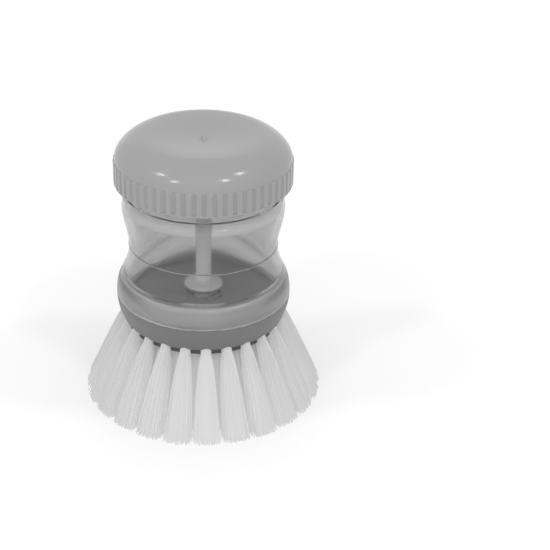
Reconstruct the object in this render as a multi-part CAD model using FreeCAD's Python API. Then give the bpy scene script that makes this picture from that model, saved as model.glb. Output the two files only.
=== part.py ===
import FreeCAD, Part
import math
import os
from collections import namedtuple

# Palm-held dish brush that dispenses soap, in millimetres.
# +Z is up along the axis, the bristle tips rest on z = 0 and the camera side of the photo is -Y.

# Brush block and tufts
bristle_length = 26.0        # tip plane to the flat underside of the bristle plate
plate_height = 2.0           # bristle plate below the lower edge of the bowl
plate_setback = 0.9          # side of the plate inside that edge
bowl_height = 8.0            # lower edge to the joint with the reservoir
bowl_edge_setback = 2.1      # lower edge inside the reservoir's foot
bowl_edge_run = 0.8          # direction in which the side leaves its lower edge
bowl_edge_rise = 1.7
bowl_upright = 3.6           # the side draws in from upright over this much below the joint
tuft_hole_radius = 1.8
tuft_hole_depth = 6.3
tuft_clearance = 0.05
tuft_straight_length = 0.8   # the tuft keeps its root size this far out of the hole
tuft_spread_share = 0.4      # the tuft spreads faster along its ring down to this share of its length
tuft_tip_half_depth = 3.0    # across the ring
tuft_first_angle = -88.3     # first tuft of the outer ring, from +X
anchor_thickness = 0.5
anchor_height = 1.6
anchor_bite = 0.25           # each end cuts this far into the wall of the hole
anchor_fold = 0.8            # the tuft folds under the anchor by this much
anchor_clearance = 0.02

outer_count = 24
outer_ring_setback = 0.6     # middle of the holes, open towards the plate's side, from the bowl's edge
outer_tip_flare = 10.3       # tips further out than the holes
outer_spread_half_width = 3.2
outer_tip_half_width = 4.0
middle_count = 24            # staggered behind the gaps of the outer ring
middle_ring_setback = 4.8    # middle of the holes from those of the outer ring
middle_tip_flare = 6.7
middle_spread_half_width = 2.5
middle_tip_half_width = 3.1
inner_count = 12
inner_ring_setback = 6.6     # middle of the holes from the outlet's recess
inner_tip_flare = 3.4
inner_spread_half_width = 2.9
inner_tip_half_width = 3.8

# Cup, spring well and outlet in the block
spigot_wall = 1.8
spigot_height = 1.2          # above the joint
floor_drop = 0.4             # rim of the sloping floor below the joint
floor_fall = 1.4             # fall of the floor towards the well
outlet_recess_depth = 3.0
outlet_recess_radius = 7.0
outlet_radius = 3.3
valve_plate_thickness = 1.6
well_wall = 1.1
well_slot_width = 3.0
well_slot_count = 4
well_slot_floor_gap = 0.1    # the slots stop this far above the floor

# Seal between the block and the reservoir
fit_clearance = 0.05
seal_thickness = 1.25
seal_lip = 0.35
seal_lip_height = 0.8
seal_height = 6.5
seal_corner = 0.7            # slope of the upper outer corner, under the ledge
seal_lip_setback = 1.3       # middle of each lip from the end of the seal

# Reservoir
bore_radius = 22.0           # inside the neck
body_wall = 2.2              # even wall of the waist and the bulge
foot_wall = 2.1
ledge_height = 7.6           # inner edge of the sloping ledge over the counterbore, above the joint
ledge_fall = 1.4
ledge_spigot_gap = 0.3
waist_reach = 2.12           # outside of the waist past the neck's bore
waist_height = 17.8          # above the joint
bulge_reach = 4.2
bulge_height = 31.0          # above the joint
shoulder_reach = 3.7
shoulder_height = 37.9       # above the joint
neck_wall = 2.9
neck_height = 12.7           # shoulder to rim

# Screw thread between neck and cap
thread_pitch = 4.0
thread_depth = 1.3
thread_clearance = 0.4
thread_root_height = 1.9
thread_crest_height = 0.7
thread_sink = 0.2
neck_thread_turns = 1.375
neck_thread_start = 3.5      # above the shoulder
cap_thread_turns = 1.25
cap_thread_lead_in = 120.0   # degrees along the helix to where the cap's ridge starts

# Cap, gasket and press panel
skirt_wall = 1.3
skirt_gap = 1.6              # skirt's edge above the shoulder
rib_count = 56
rib_depth = 0.6
rib_groove_radius = 0.75
rib_bead_height = 0.45
rib_stand = 0.37             # ribs outside the edge of the dome
rib_top_fade = 0.3           # top of the grooves below that edge
gasket_thickness = 1.2
gasket_inner_lip = 1.0       # gasket reaches this far inside the bore
cap_crown_height = 3.05      # gasket seat to the crest
cap_corner_height = 3.8      # slope between the threaded wall and the gasket seat
cap_corner_width = 1.4
crest_width = 1.5
crown_thickness = 2.05
dome_drop = 7.45             # edge of the dome below the crest
dish_depth = 1.45
panel_radius = 17.0
panel_clearance = 0.3
panel_thickness = 1.2
panel_pad_radius = 3.5
panel_pad_height = 0.2
nub_radius = 0.8
nub_height = 0.5

# Plunger, spring and valve
press_travel = 3.0
stop_gap = 0.1
rod_radius = 2.5
flange_radius = 6.2
flange_thickness = 0.9
head_radius = 8.0
head_thickness = 1.6
head_gap = 0.1
rod_spigot_radius = 1.7
rod_spigot_length = 1.0
stem_clearance = 0.3
stem_length = 5.0
flute_radius = 1.0
flute_count = 4
plug_neck_radius = 1.45
plug_length = 3.3
plug_overlap = 1.0           # plug's rim past the outlet
plug_rim_height = 1.3
plug_foot_radius = 2.6
seat_gap = 0.05
barb_radius = 2.0
barb_height = 0.9
barb_tip_radius = 1.2
spring_length = 7.6          # at rest, over the wire
spring_wire_radius = 0.35
spring_mean_radius = 4.1
spring_turns = 3.5
spring_well_clearance = 0.45

# Share of a span that a curve keeps its end direction for
dome_side_share = 0.449
dome_top_share = 0.465
waist_curve_share = 0.5
foot_curve_share = 0.42
bulge_curve_share = 0.35

# Levels
block_bottom = bristle_length
bowl_edge_level = block_bottom + plate_height
joint_level = bowl_edge_level + bowl_height
seat_level = block_bottom + outlet_recess_depth
well_floor = seat_level + valve_plate_thickness
flange_bottom = well_floor + spring_length
well_top = flange_bottom - press_travel - stop_gap
floor_rim = joint_level - floor_drop
floor_low = floor_rim - floor_fall
spigot_top = joint_level + spigot_height
ledge_level = joint_level + ledge_height
waist_level = joint_level + waist_height
bulge_level = joint_level + bulge_height
shoulder_level = joint_level + shoulder_height
neck_rim = shoulder_level + neck_height
gasket_seat = neck_rim + gasket_thickness
crest_level = gasket_seat + cap_crown_height
crown_underside = crest_level - crown_thickness
skirt_bottom = shoulder_level + skirt_gap
dome_level = crest_level - dome_drop
dish_level = crest_level - dish_depth
pad_level = dish_level - panel_thickness - panel_pad_height
head_top = pad_level - head_gap
head_bottom = head_top - head_thickness
plug_top = seat_level - seat_gap
plug_bottom = plug_top - plug_length

# Radii that follow from the fits
neck_radius = bore_radius + neck_wall
thread_crest_radius = neck_radius + thread_depth
cap_bore_radius = thread_crest_radius + thread_clearance
cap_thread_radius = neck_radius + thread_clearance
rib_root_radius = cap_bore_radius + skirt_wall
cap_radius = rib_root_radius + rib_depth
dome_radius = cap_radius - rib_stand
cap_hole_radius = panel_radius + panel_clearance
crest_radius = cap_hole_radius + crest_width
waist_radius = bore_radius + waist_reach
bulge_radius = bore_radius + bulge_reach
shoulder_radius = bore_radius + shoulder_reach
ledge_radius = bore_radius + neck_wall
spigot_radius = ledge_radius - ledge_spigot_gap
cup_radius = spigot_radius - spigot_wall
seal_inner_radius = spigot_radius + fit_clearance
seal_outer_radius = seal_inner_radius + seal_thickness
counterbore_radius = seal_outer_radius + seal_lip + fit_clearance
foot_radius = counterbore_radius + foot_wall
bowl_edge_radius = foot_radius - bowl_edge_setback
plate_radius = bowl_edge_radius - plate_setback
outer_root_radius = bowl_edge_radius - outer_ring_setback
outer_tip_radius = outer_root_radius + outer_tip_flare
middle_root_radius = outer_root_radius - middle_ring_setback
middle_tip_radius = middle_root_radius + middle_tip_flare
inner_root_radius = outlet_recess_radius + inner_ring_setback
inner_tip_radius = inner_root_radius + inner_tip_flare
well_radius = spring_mean_radius + spring_wire_radius + spring_well_clearance
well_outer_radius = well_radius + well_wall
stem_radius = outlet_radius - stem_clearance
plug_radius = outlet_radius + plug_overlap
plug_bore_radius = plug_neck_radius + fit_clearance

axis_up = FreeCAD.Vector(0, 0, 1)
origin = FreeCAD.Vector(0, 0, 0)

TuftRing = namedtuple("TuftRing", "count first_angle root tip spread_half_width tip_half_width")
outer_ring = TuftRing(
    outer_count, tuft_first_angle, outer_root_radius, outer_tip_radius,
    outer_spread_half_width, outer_tip_half_width)
middle_ring = TuftRing(
    middle_count, tuft_first_angle + 180.0 / outer_count, middle_root_radius, middle_tip_radius,
    middle_spread_half_width, middle_tip_half_width)
inner_ring = TuftRing(
    inner_count, tuft_first_angle, inner_root_radius, inner_tip_radius,
    inner_spread_half_width, inner_tip_half_width)


def at(radius, level):
    """Point of a half section, in the XZ plane."""
    return FreeCAD.Vector(radius, 0, level)


def line(start, end):
    return Part.makeLine(start, end)


def arc(start, middle, end):
    return Part.Arc(start, middle, end).toShape()


def bezier(*poles):
    curve = Part.BezierCurve()
    curve.setPoles(list(poles))
    return curve.toShape()


def polyline(points):
    return [line(a, b) for a, b in zip(points, points[1:])]


def turned(edges):
    """Solid of revolution of a closed half section."""
    face = Part.Face(Part.Wire(edges))
    return face.revolve(origin, axis_up, 360)


def turned_points(points):
    return turned(polyline(points + points[:1]))


def around(shape, count, first_angle=0.0):
    """Copies of a shape evenly spaced about the axis."""
    copies = []
    for index in range(count):
        copy = shape.copy()
        copy.rotate(origin, axis_up, first_angle + index * 360.0 / count)
        copies.append(copy)
    return copies


def thread_ridge(root_radius, crest_radius, level, turns, first_angle):
    """Helical ridge of trapezoid section between two radii, sunk into the wall it stands on."""
    sunk_radius = root_radius - math.copysign(thread_sink, crest_radius - root_radius)
    root = thread_root_height / 2
    crest = thread_crest_height / 2
    corners = [
        at(sunk_radius, level - root),
        at(crest_radius, level - crest),
        at(crest_radius, level + crest),
        at(sunk_radius, level + root),
    ]
    section = Part.Wire(polyline(corners + corners[:1]))
    helix = Part.makeHelix(thread_pitch, thread_pitch * turns, root_radius)
    helix.translate(FreeCAD.Vector(0, 0, level))
    ridge = Part.Wire(helix.Edges).makePipeShell([section], True, True)
    ridge.rotate(origin, axis_up, first_angle)
    return ridge


def reservoir_body():
    """Clear container: even waisted wall, foot with a counterbore, threaded neck."""
    flare = waist_level - joint_level
    taper = bulge_level - waist_level
    crown = shoulder_level - bulge_level
    inner = waist_level - ledge_level
    waist_bore = waist_radius - body_wall
    bulge_bore = bulge_radius - body_wall
    outside = [
        bezier(
            at(foot_radius, joint_level),
            at(foot_radius, joint_level + foot_curve_share * flare),
            at(waist_radius, waist_level - waist_curve_share * flare),
            at(waist_radius, waist_level),
        ),
        bezier(
            at(waist_radius, waist_level),
            at(waist_radius, waist_level + bulge_curve_share * taper),
            at(bulge_radius, bulge_level - bulge_curve_share * taper),
            at(bulge_radius, bulge_level),
        ),
        bezier(
            at(bulge_radius, bulge_level),
            at(bulge_radius, bulge_level + bulge_curve_share * crown),
            at(shoulder_radius, shoulder_level),
        ),
    ]
    neck = polyline([
        at(shoulder_radius, shoulder_level),
        at(neck_radius, shoulder_level),
        at(neck_radius, neck_rim),
        at(bore_radius, neck_rim),
        at(bore_radius, shoulder_level),
    ])
    inside = [
        bezier(
            at(bore_radius, shoulder_level),
            at(bore_radius, shoulder_level - bulge_curve_share * crown),
            at(bulge_bore, bulge_level + bulge_curve_share * crown),
            at(bulge_bore, bulge_level),
        ),
        bezier(
            at(bulge_bore, bulge_level),
            at(bulge_bore, bulge_level - bulge_curve_share * taper),
            at(waist_bore, waist_level + bulge_curve_share * taper),
            at(waist_bore, waist_level),
        ),
        bezier(
            at(waist_bore, waist_level),
            at(waist_bore, waist_level - waist_curve_share * inner),
            at(ledge_radius, ledge_level + bulge_curve_share * inner),
            at(ledge_radius, ledge_level),
        ),
    ]
    foot = polyline([
        at(ledge_radius, ledge_level),
        at(counterbore_radius, ledge_level - ledge_fall),
        at(counterbore_radius, joint_level),
        at(foot_radius, joint_level),
    ])
    wall = turned(outside + neck + inside + foot)
    ridge = thread_ridge(
        neck_radius, thread_crest_radius, shoulder_level + neck_thread_start, neck_thread_turns, 0.0)
    return wall.fuse(ridge)


def base_seal():
    """Soft ring round the block's spigot with two lips against the counterbore."""
    low = joint_level
    high = joint_level + seal_height
    tip = seal_outer_radius + seal_lip
    half = seal_lip_height / 2
    points = [at(seal_inner_radius, low), at(seal_outer_radius, low)]
    for middle in (low + seal_lip_setback, high - seal_lip_setback):
        points.append(at(seal_outer_radius, middle - half))
        points.append(at(tip, middle))
        points.append(at(seal_outer_radius, middle + half))
    points.append(at(seal_outer_radius, high - seal_corner))
    points.append(at(seal_outer_radius - seal_corner, high))
    points.append(at(seal_inner_radius, high))
    return turned_points(points)


def tuft_tilt(ring):
    return math.atan2(ring.tip - ring.root, bristle_length)


def tuft_mouth(ring):
    return at(ring.root, block_bottom)


def into_block(tilt):
    """Direction of a tuft hole, from its mouth to its end."""
    return FreeCAD.Vector(-math.sin(tilt), 0, math.cos(tilt))


def tuft_hole(ring):
    inward = into_block(tuft_tilt(ring))
    start = tuft_mouth(ring) - inward * (2 * tuft_hole_radius)
    return Part.makeCylinder(tuft_hole_radius, tuft_hole_depth + 2 * tuft_hole_radius, start, inward)


def anchor_plate(ring, clearance):
    """Flat staple across the end of a tuft hole, lying along the ring."""
    tilt = tuft_tilt(ring)
    length = 2 * (tuft_hole_radius + anchor_bite + clearance)
    thick = anchor_thickness + 2 * clearance
    tall = anchor_height + 2 * clearance
    depth = tuft_hole_depth - anchor_fold - anchor_height - clearance
    plate = Part.makeBox(thick, length, tall, FreeCAD.Vector(-thick / 2, -length / 2, depth))
    plate.rotate(origin, FreeCAD.Vector(0, 1, 0), -math.degrees(tilt))
    plate.translate(tuft_mouth(ring))
    return plate


def oval(centre, half_width, half_depth):
    """Level oval across a tuft, long along the ring."""
    along = FreeCAD.Vector(0, half_width, 0)
    across = FreeCAD.Vector(half_depth, 0, 0)
    return Part.Wire(Part.Ellipse(centre + along, centre + across, centre).toShape())


def tuft(ring):
    """Bundle of bristles: round in its hole, spreading to a flat oval tip."""
    inward = into_block(tuft_tilt(ring))
    mouth = tuft_mouth(ring)
    radius = tuft_hole_radius - tuft_clearance
    along = FreeCAD.Vector(0, 1, 0)
    sections = []
    for depth in (tuft_hole_depth - tuft_clearance, -tuft_straight_length):
        circle = Part.Circle(mouth + inward * depth, inward * -1, radius)
        circle.XAxis = along
        sections.append(Part.Wire(circle.toShape()))
    tip_centre = at(ring.tip, 0)
    spread_centre = mouth + (tip_centre - mouth) * tuft_spread_share
    spread_half_depth = radius + (tuft_tip_half_depth - radius) * tuft_spread_share
    sections.append(oval(spread_centre, ring.spread_half_width, spread_half_depth))
    sections.append(oval(tip_centre, ring.tip_half_width, tuft_tip_half_depth))
    bundle = Part.makeLoft(sections, True, True)
    return bundle.cut(anchor_plate(ring, anchor_clearance))


def brush_block(rings):
    """Dark bowl on a bristle plate: tuft holes below, sloping floor, spring well and outlet above."""
    edges = polyline([
        at(outlet_radius, seat_level),
        at(outlet_recess_radius, seat_level),
        at(outlet_recess_radius, block_bottom),
        at(plate_radius, block_bottom),
        at(plate_radius, bowl_edge_level),
        at(bowl_edge_radius, bowl_edge_level),
    ])
    edges.append(bezier(
        at(bowl_edge_radius, bowl_edge_level),
        at(bowl_edge_radius + bowl_edge_run, bowl_edge_level + bowl_edge_rise),
        at(foot_radius, joint_level - bowl_upright),
        at(foot_radius, joint_level),
    ))
    edges += polyline([
        at(foot_radius, joint_level),
        at(spigot_radius, joint_level),
        at(spigot_radius, spigot_top),
        at(cup_radius, spigot_top),
        at(cup_radius, floor_rim),
        at(well_outer_radius, floor_low),
        at(well_outer_radius, well_top),
        at(well_radius, well_top),
        at(well_radius, well_floor),
        at(outlet_radius, well_floor),
        at(outlet_radius, seat_level),
    ])
    block = turned(edges)
    slot_floor = floor_low + well_slot_floor_gap
    slot = Part.makeBox(
        2 * well_wall, well_slot_width, well_top - slot_floor + well_wall,
        FreeCAD.Vector(well_radius - well_wall / 2, -well_slot_width / 2, slot_floor))
    tools = around(slot, well_slot_count)
    for ring in rings:
        tools += around(tuft_hole(ring), ring.count, ring.first_angle)
        tools += around(anchor_plate(ring, anchor_clearance), ring.count, ring.first_angle)
    return block.cut(tools)


def plunger_rod():
    """Push rod: spigot for the head, flange over the spring, fluted stem and barbed foot."""
    barb_top = plug_bottom
    stem_top = plug_top + stem_length
    rod = turned_points([
        at(0, barb_top - barb_height),
        at(barb_tip_radius, barb_top - barb_height),
        at(barb_radius, barb_top),
        at(plug_neck_radius, barb_top),
        at(plug_neck_radius, plug_top),
        at(stem_radius, plug_top),
        at(stem_radius, stem_top),
        at(rod_radius, stem_top),
        at(rod_radius, flange_bottom),
        at(flange_radius, flange_bottom),
        at(flange_radius, flange_bottom + flange_thickness),
        at(rod_radius, flange_bottom + flange_thickness),
        at(rod_radius, head_bottom),
        at(rod_spigot_radius, head_bottom),
        at(rod_spigot_radius, head_bottom + rod_spigot_length),
        at(0, head_bottom + rod_spigot_length),
    ])
    flute = Part.makeCylinder(flute_radius, stem_length, at(stem_radius, plug_top), axis_up)
    return rod.cut(around(flute, flute_count, 180.0 / flute_count))


def plunger_head():
    """Broad disc on the rod, with a blind socket for the rod's spigot."""
    socket_radius = rod_spigot_radius + fit_clearance
    socket_top = head_bottom + rod_spigot_length + fit_clearance
    return turned_points([
        at(socket_radius, head_bottom),
        at(head_radius, head_bottom),
        at(head_radius, head_top),
        at(0, head_top),
        at(0, socket_top),
        at(socket_radius, socket_top),
    ])


def valve_plug():
    """Soft plug on the rod's foot, flat against the outlet's underside."""
    low = plug_bottom + fit_clearance
    return turned_points([
        at(plug_bore_radius, low),
        at(plug_foot_radius, low),
        at(plug_radius, plug_top - plug_rim_height),
        at(plug_radius, plug_top),
        at(plug_bore_radius, plug_top),
    ])


def helix_frame(angle, climb, start_level):
    """Point and unit tangent of the spring's helix."""
    point = FreeCAD.Vector(
        spring_mean_radius * math.cos(angle),
        spring_mean_radius * math.sin(angle),
        start_level + climb * angle)
    tangent = FreeCAD.Vector(
        -spring_mean_radius * math.sin(angle), spring_mean_radius * math.cos(angle), climb)
    return point, tangent.normalize()


def arc_from_tangent(start, tangent, end):
    """Circular arc from a point along a tangent to another point."""
    chord = end - start
    along = tangent * chord.dot(tangent)
    side = (chord - along).normalize()
    radius = chord.Length ** 2 / (2 * chord.dot(side))
    centre = start + side * radius
    middle = centre + ((start - centre) + (end - centre)).normalize() * radius
    return arc(start, middle, end)


def biarc(start, start_tangent, end, end_tangent):
    """Two arcs that meet smoothly between two points with given tangents."""
    chord = end - start
    both = start_tangent + end_tangent
    a = both.dot(both) - 4
    b = -2 * chord.dot(both)
    c = chord.dot(chord)
    reach = (-b - math.sqrt(b * b - 4 * a * c)) / (2 * a)
    if reach < 0:
        reach = (-b + math.sqrt(b * b - 4 * a * c)) / (2 * a)
    meeting = (start + start_tangent * reach + end - end_tangent * reach) * 0.5
    first = arc_from_tangent(start, start_tangent, meeting)
    second = arc_from_tangent(end, end_tangent * -1, meeting)
    return [first, second]


def return_spring():
    """One unbroken tube on biarcs of a quarter turn."""
    height = spring_length - 2 * spring_wire_radius
    climb = height / (spring_turns * 2 * math.pi)
    start_level = well_floor + spring_wire_radius
    quarters = round(spring_turns * 4)
    edges = []
    frames = [helix_frame(k * math.pi / 2, climb, start_level) for k in range(quarters + 1)]
    for (start, start_tangent), (end, end_tangent) in zip(frames, frames[1:]):
        edges += biarc(start, start_tangent, end, end_tangent)
    path = Part.Wire(Part.sortEdges(edges)[0])
    start, tangent = frames[0]
    section = Part.Wire(Part.Circle(start, tangent, spring_wire_radius).toShape())
    print_spring_gap(climb, start_level)
    return path.makePipeShell([section], True, False)


def print_spring_gap(climb, start_level):
    """Least distance between two turns of the wire, measured on points of the helix."""
    steps = 24
    count = round(spring_turns * steps)
    points = [helix_frame(k * 2 * math.pi / steps, climb, start_level)[0] for k in range(count + 1)]
    least = min(
        points[i].distanceToPoint(points[j])
        for i in range(count + 1)
        for j in range(i + steps // 2, count + 1))
    print("return_spring least gap between turns: %.2f mm" % (least - 2 * spring_wire_radius))


def cap_gasket():
    return turned_points([
        at(bore_radius - gasket_inner_lip, neck_rim),
        at(neck_radius, neck_rim),
        at(neck_radius, gasket_seat),
        at(bore_radius - gasket_inner_lip, gasket_seat),
    ])


def dish_height(radius):
    """Level of the dished top at a radius, rising to the crest."""
    return dish_level + dish_depth * (radius / crest_radius) ** 2


def screw_cap():
    """Ribbed cap shell with a leaning dome, an open middle and a thread inside."""
    reach = dome_radius - crest_radius
    dome = bezier(
        at(dome_radius, dome_level),
        at(dome_radius, dome_level + dome_side_share * dome_drop),
        at(crest_radius + dome_top_share * reach, crest_level),
        at(crest_radius, crest_level),
    )
    top_and_inside = polyline([
        at(crest_radius, crest_level),
        at(cap_hole_radius, dish_height(cap_hole_radius)),
        at(cap_hole_radius, crown_underside),
        at(bore_radius - gasket_inner_lip, crown_underside),
        at(bore_radius - gasket_inner_lip, gasket_seat),
        at(cap_bore_radius - cap_corner_width, gasket_seat),
        at(cap_bore_radius, gasket_seat - cap_corner_height),
        at(cap_bore_radius, skirt_bottom),
        at(cap_radius, skirt_bottom),
        at(cap_radius, dome_level - rib_stand),
        at(dome_radius, dome_level),
    ])
    shell = turned([dome] + top_and_inside)
    groove_bottom = skirt_bottom + rib_bead_height
    groove_top = dome_level - rib_top_fade
    groove = Part.makeCylinder(
        rib_groove_radius, groove_top - groove_bottom,
        at(rib_root_radius + rib_groove_radius, groove_bottom), axis_up)
    ribbed = shell.cut(around(groove, rib_count))
    helix_start = shoulder_level + neck_thread_start - thread_pitch / 2
    ridge = thread_ridge(
        cap_bore_radius, cap_thread_radius,
        helix_start + thread_pitch * cap_thread_lead_in / 360.0, cap_thread_turns, cap_thread_lead_in)
    return ribbed.fuse(ridge)


def press_panel():
    """Dished flexible disc with a pad over the plunger's head and a small nub on top."""
    edge_level = dish_height(panel_radius)
    half_level = dish_height(panel_radius / 2)
    top_centre = at(nub_radius, dish_height(nub_radius))
    under_edge = at(panel_radius, edge_level - panel_thickness)
    under_pad = at(panel_pad_radius, dish_height(panel_pad_radius) - panel_thickness)
    edges = polyline([
        at(0, pad_level),
        at(panel_pad_radius, pad_level),
        under_pad,
    ])
    middle_radius = (panel_pad_radius + panel_radius) / 2
    under_middle = at(middle_radius, dish_height(middle_radius) - panel_thickness)
    edges.append(arc(under_pad, under_middle, under_edge))
    edges.append(line(under_edge, at(panel_radius, edge_level)))
    edges.append(arc(at(panel_radius, edge_level), at(panel_radius / 2, half_level), top_centre))
    edges += polyline([
        top_centre,
        at(nub_radius, dish_level + nub_height),
        at(0, dish_level + nub_height),
        at(0, pad_level),
    ])
    return turned(edges)


def save(shape, node):
    shape.exportStep("parts/%s.step" % node)
    print("%s: %d solid, %.1f mm3" % (node, len(shape.Solids), shape.Volume))


def main():
    os.makedirs("parts", exist_ok=True)
    for name, ring in (("outer", outer_ring), ("middle", middle_ring)):
        for index, bundle in enumerate(around(tuft(ring), ring.count, ring.first_angle)):
            save(bundle, "tuft_%s_%02d" % (name, index + 1))
    inner_tufts = around(tuft(inner_ring), inner_ring.count, inner_ring.first_angle)
    save(Part.makeCompound(inner_tufts), "tufts_inner")
    rings = (outer_ring, middle_ring, inner_ring)
    anchors = []
    for ring in rings:
        anchors += around(anchor_plate(ring, 0.0), ring.count, ring.first_angle)
    save(Part.makeCompound(anchors), "tuft_anchors")
    save(brush_block(rings), "brush_block")
    save(base_seal(), "base_seal")
    save(reservoir_body(), "reservoir_body")
    save(plunger_rod(), "plunger_rod")
    save(plunger_head(), "plunger_head")
    save(valve_plug(), "valve_plug")
    save(return_spring(), "return_spring")
    save(cap_gasket(), "cap_gasket")
    save(screw_cap(), "screw_cap")
    save(press_panel(), "press_panel")


main()
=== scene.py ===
import bpy
import math
import numpy as np
from mathutils import Matrix, Vector


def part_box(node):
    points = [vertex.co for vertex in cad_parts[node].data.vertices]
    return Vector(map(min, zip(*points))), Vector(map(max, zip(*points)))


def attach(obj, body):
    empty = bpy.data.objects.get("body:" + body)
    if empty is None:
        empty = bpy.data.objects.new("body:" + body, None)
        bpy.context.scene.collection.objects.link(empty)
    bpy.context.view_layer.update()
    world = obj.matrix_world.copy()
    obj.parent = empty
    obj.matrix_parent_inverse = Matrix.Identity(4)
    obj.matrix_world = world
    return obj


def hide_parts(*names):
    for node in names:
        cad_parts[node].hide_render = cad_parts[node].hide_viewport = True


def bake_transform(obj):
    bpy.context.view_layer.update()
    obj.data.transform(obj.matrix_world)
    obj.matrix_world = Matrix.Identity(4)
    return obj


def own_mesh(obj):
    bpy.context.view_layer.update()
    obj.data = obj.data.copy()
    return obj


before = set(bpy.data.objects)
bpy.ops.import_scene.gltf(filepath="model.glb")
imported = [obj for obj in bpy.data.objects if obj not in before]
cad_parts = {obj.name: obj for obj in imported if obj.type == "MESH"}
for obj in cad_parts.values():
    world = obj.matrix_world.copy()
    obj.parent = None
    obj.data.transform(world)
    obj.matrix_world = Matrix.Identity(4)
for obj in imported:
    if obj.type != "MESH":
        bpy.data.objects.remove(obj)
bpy.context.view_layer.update()        # bodies: base, plunger, gasket, cap, panel
mm = 0.001
print("frame loaded:", len(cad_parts), "nodes")


# mesh tools on whole arrays

def putMesh(name, points, faces, sharpAngle=40):
    # (n, 3) points and a list of face index arrays as one smooth mesh at the origin, creased past sharpAngle
    mesh = bpy.data.meshes.new(name)
    corners = [corner for group in faces for corner in group.tolist()]
    mesh.from_pydata(points.tolist(), [], corners)
    mesh.polygons.foreach_set("use_smooth", np.ones(len(mesh.polygons), bool))
    mesh.set_sharp_from_angle(angle=math.radians(sharpAngle))
    piece = bpy.data.objects.new(name, mesh)
    bpy.context.scene.collection.objects.link(piece)
    return piece


def fullTurn(columns):
    # evenly spaced angles of one turn
    return np.linspace(0, 2 * np.pi, columns, endpoint=False)


def gridQuads(rows, columns, loop):
    # corners of the quads between neighbouring rows of a grid whose columns close round the axis
    row = np.arange(rows if loop else rows - 1)[:, None]
    column = np.arange(columns)[None, :]
    low = row * columns
    high = ((row + 1) % rows) * columns
    right = (column + 1) % columns
    return np.stack([low + column, low + right, high + right, high + column], -1).reshape(-1, 4)


def turned(name, profile, columns, offset=0.0):
    # surface of revolution ((r + offset) cos a, (r + offset) sin a, z) of an (r, z) profile that runs up the
    # outside; a profile from axis to axis gets a fan at each pole, any other one closes on itself
    angle = fullTurn(columns)
    radius = profile[:, :1] + offset * np.ones((1, columns))
    level = np.repeat(profile[:, 1:], columns, 1)
    grid = np.stack([radius * np.cos(angle), radius * np.sin(angle), level], -1)
    if profile[0, 0] > 0:
        return putMesh(name, grid.reshape(-1, 3), [gridQuads(len(profile), columns, True)])
    inner = grid[1:-1]
    count = inner.shape[0] * columns
    points = np.concatenate([inner.reshape(-1, 3), grid[0, :1], grid[-1, :1]])
    here = np.arange(columns)
    there = (here + 1) % columns
    foot = np.stack([np.full(columns, count), there, here], -1)
    crown = np.stack([count - columns + here, count - columns + there, np.full(columns, count + 1)], -1)
    return putMesh(name, points, [gridQuads(inner.shape[0], columns, False), foot, crown])


def curve(start, startPull, endPull, end, steps):
    # cubic Bezier in the (r, z) half plane
    t = np.linspace(0, 1, steps)[:, None]
    a, b, c, d = (np.array(pole, float) for pole in (start, startPull, endPull, end))
    return (1 - t) ** 3 * a + 3 * (1 - t) ** 2 * t * b + 3 * (1 - t) * t ** 2 * c + t ** 3 * d


def bend(start, corner, end, steps):
    # parabola from start to end, drawn towards the corner between them
    t = np.linspace(0, 1, steps)[:, None]
    return (1 - t) ** 2 * start + 2 * t * (1 - t) * corner + t ** 2 * end


def rounded(corners, loop, steps=5):
    # straight runs through (r, z, rounding) corners; a corner's bend starts and ends its rounding away
    given = np.array(corners, float)
    place = given[:, :2]
    before = np.roll(place, 1, 0) - place
    after = np.roll(place, -1, 0) - place
    runs = []
    for k, size in enumerate(given[:, 2]):
        if size == 0 or (not loop and k in (0, len(given) - 1)):
            runs.append(place[k:k + 1])
            continue
        start = place[k] + before[k] / np.linalg.norm(before[k]) * size
        end = place[k] + after[k] / np.linalg.norm(after[k]) * size
        runs.append(bend(start, place[k], end, steps))
    return np.concatenate(runs)


def upright(radius, low, high, steps):
    # plain stretch of wall as (r, z) rows
    return np.stack([np.full(steps, radius), np.linspace(low, high, steps)], -1)


def smooth(low, high, value):
    # smoothstep from 0 at low to 1 at high
    t = np.clip((value - low) / (high - low), 0, 1)
    return t * t * (3 - 2 * t)


threadForm = {"pitch": 4 * mm, "depth": 1.3 * mm, "rootHalf": 0.95 * mm, "crestHalf": 0.35 * mm,
              "fade": 0.04}


def threadRise(angle, level, look):
    # helical ridge of trapezoid section: depth on the crest, 0 past the root, faded in and out at its ends
    rise = np.zeros(np.broadcast(angle, level).shape)
    for lap in range(-1, 3):         # laps enough for two turns
        turn = (angle - look["firstAngle"]) / (2 * np.pi) + lap
        away = np.abs(level - look["start"] - look["pitch"] * turn)
        flank = np.clip((look["rootHalf"] - away) / (look["rootHalf"] - look["crestHalf"]), 0, 1)
        inside = smooth(0, look["fade"], turn) * smooth(0, look["fade"], look["turns"] - turn)
        rise = np.maximum(rise, look["depth"] * flank * inside)
    return rise


# shader tools

def addNode(tree, kind, **settings):
    node = tree.nodes.new(kind)
    for key, value in settings.items():
        setattr(node, key, value)
    return node


def setInputs(node, **values):
    for key, value in values.items():
        node.inputs[key.replace("_", " ")].default_value = value
    return node


def newFinish(name):
    material = bpy.data.materials.new(name)
    material.use_nodes = True
    return material, material.node_tree, material.node_tree.nodes["Principled BSDF"]


def newGroup(name, inputs, outputs):
    # node group with named sockets: colours where the name is Tone or Colour, else values
    group = bpy.data.node_groups.new(name, "ShaderNodeTree")
    for side, names in (("INPUT", inputs), ("OUTPUT", outputs)):
        for socket in names:
            kind = "NodeSocketColor" if socket in ("Tone", "Colour") else "NodeSocketFloat"
            group.interface.new_socket(socket, in_out=side, socket_type=kind)
    return group, addNode(group, "NodeGroupInput"), addNode(group, "NodeGroupOutput")


def wear(piece, material):
    piece.data.materials.clear()
    piece.data.materials.append(material)


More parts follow.
